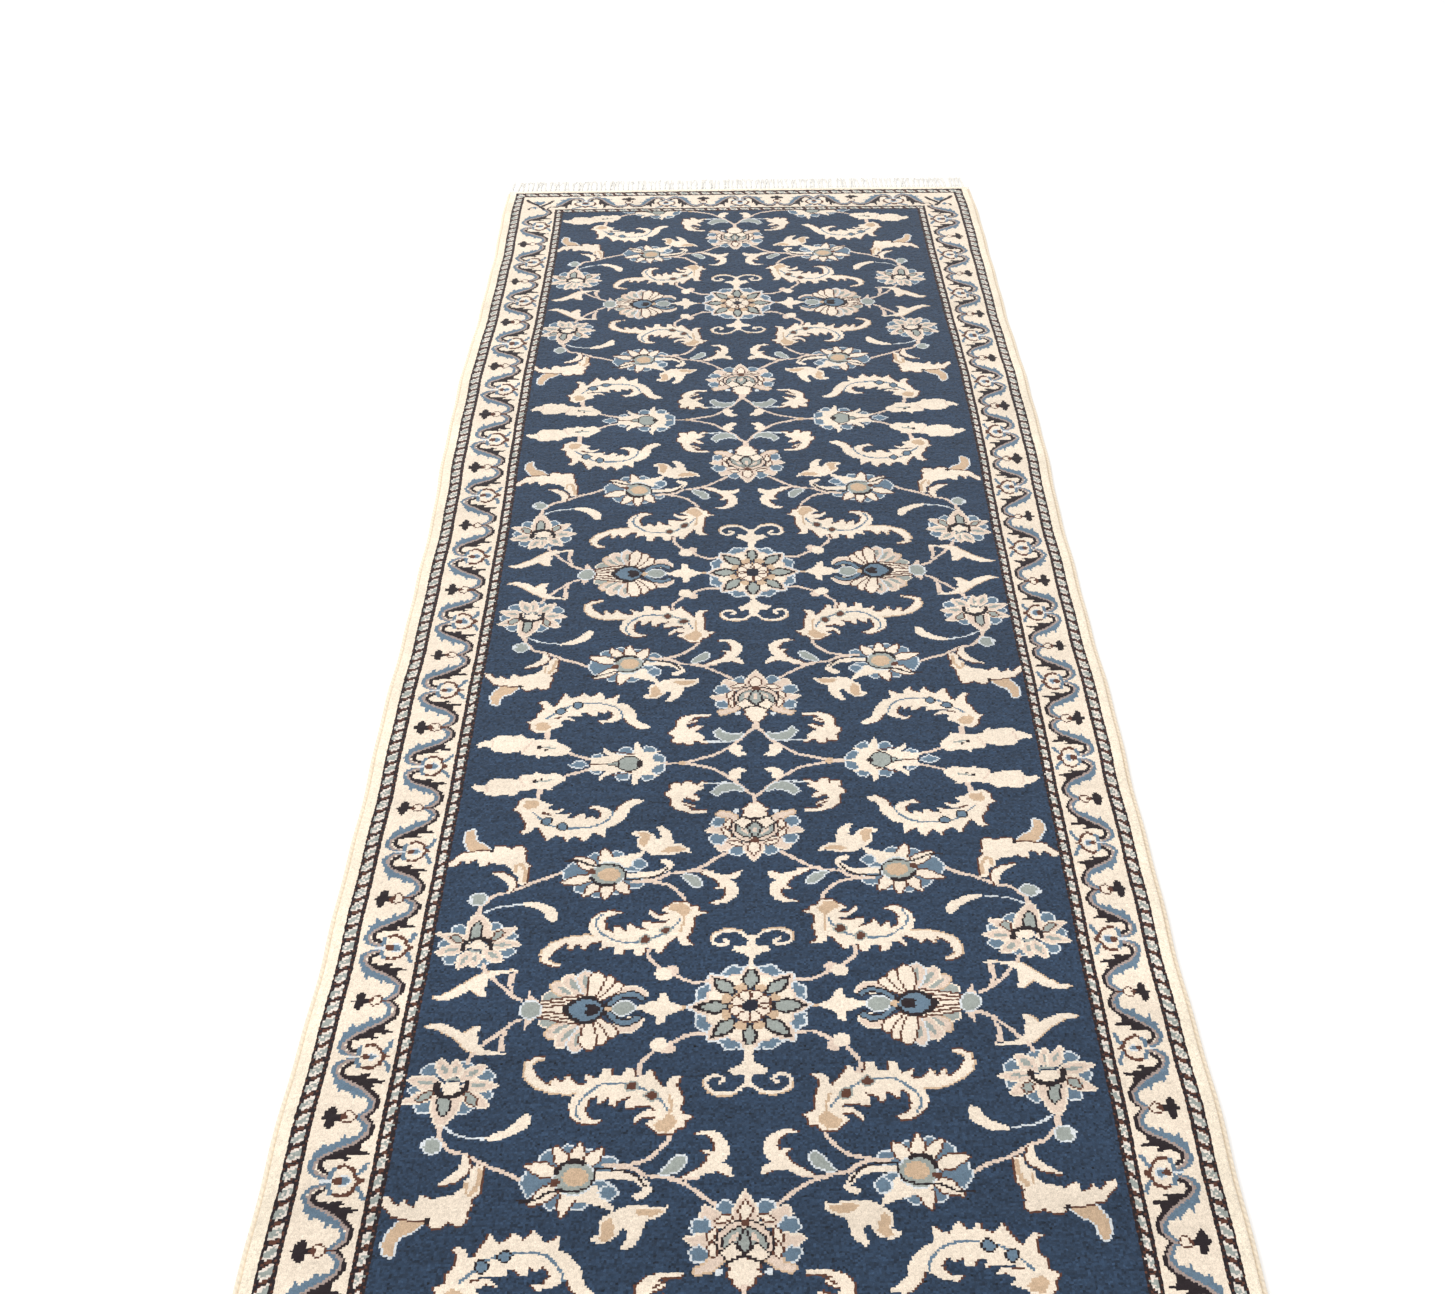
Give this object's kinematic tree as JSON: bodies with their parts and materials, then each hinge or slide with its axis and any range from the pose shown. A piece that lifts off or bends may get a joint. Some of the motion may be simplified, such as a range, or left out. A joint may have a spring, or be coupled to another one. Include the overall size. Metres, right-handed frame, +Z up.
{
  "type": "runner rug",
  "caption": "Long hand-knotted runner rug with a floral pile field, three borders, corded sides and a knotted fringe, which folds in half along its length.",
  "frame": {"origin": "under the middle of the rug, on the floor", "axes": "+Y along the rug, +X across it, +Z up out of the pile"},
  "size_m": [0.7998, 3.249, 0.01],
  "materials": {
    "warp_cotton": "matt undyed cotton",
    "weft_cotton": "matt undyed cotton",
    "field_wool": "cut wool pile, dark blue ground with an ivory, tan and pale blue floral pattern",
    "inner_guard_wool": "cut wool pile, diagonal dark brown and grey-green stripes",
    "main_border_wool": "cut wool pile, ivory ground with a blue and brown meander",
    "outer_guard_wool": "cut wool pile, diagonal dark brown and grey-green stripes",
    "edge_band_wool": "cut wool pile, plain ivory",
    "selvedge_cotton": "bundled cotton warps",
    "selvedge_wool": "wool overcasting, slightly glossy",
    "kilim_cotton": "flat cotton weave",
    "fringe_cotton": "knotted cotton warp ends"
  },
  "bodies": {
    "near_half": {"warp_sheet_near": "warp_cotton", "weft_sheet_near": "weft_cotton", "field_pile_near": "field_wool", "inner_guard_left_near": "inner_guard_wool", "inner_guard_right_near": "inner_guard_wool", "inner_guard_end_near": "inner_guard_wool", "main_border_left_near": "main_border_wool", "main_border_right_near": "main_border_wool", "main_border_end_near": "main_border_wool", "outer_guard_left_near": "outer_guard_wool", "outer_guard_right_near": "outer_guard_wool", "outer_guard_end_near": "outer_guard_wool", "edge_band_left_near": "edge_band_wool", "edge_band_right_near": "edge_band_wool", "edge_band_end_near": "edge_band_wool", "selvedge_core_left_near": "selvedge_cotton", "selvedge_wrap_left_near": "selvedge_wool", "selvedge_core_right_near": "selvedge_cotton", "selvedge_wrap_right_near": "selvedge_wool", "kilim_band_near": "kilim_cotton", "fringe_near": "fringe_cotton"},
    "far_half": {"warp_sheet_far": "warp_cotton", "weft_sheet_far": "weft_cotton", "field_pile_far": "field_wool", "inner_guard_left_far": "inner_guard_wool", "inner_guard_right_far": "inner_guard_wool", "inner_guard_end_far": "inner_guard_wool", "main_border_left_far": "main_border_wool", "main_border_right_far": "main_border_wool", "main_border_end_far": "main_border_wool", "outer_guard_left_far": "outer_guard_wool", "outer_guard_right_far": "outer_guard_wool", "outer_guard_end_far": "outer_guard_wool", "edge_band_left_far": "edge_band_wool", "edge_band_right_far": "edge_band_wool", "edge_band_end_far": "edge_band_wool", "selvedge_core_left_far": "selvedge_cotton", "selvedge_wrap_left_far": "selvedge_wool", "selvedge_core_right_far": "selvedge_cotton", "selvedge_wrap_right_far": "selvedge_wool", "kilim_band_far": "kilim_cotton", "fringe_far": "fringe_cotton"}
  },
  "joints": [
    {"name": "fold", "type": "hinge", "parent": "near_half", "child": "far_half", "pos_m": [0, 0, 0.0115], "axis": [1, 0, 0], "range_deg": [0, 180]}
  ]
}
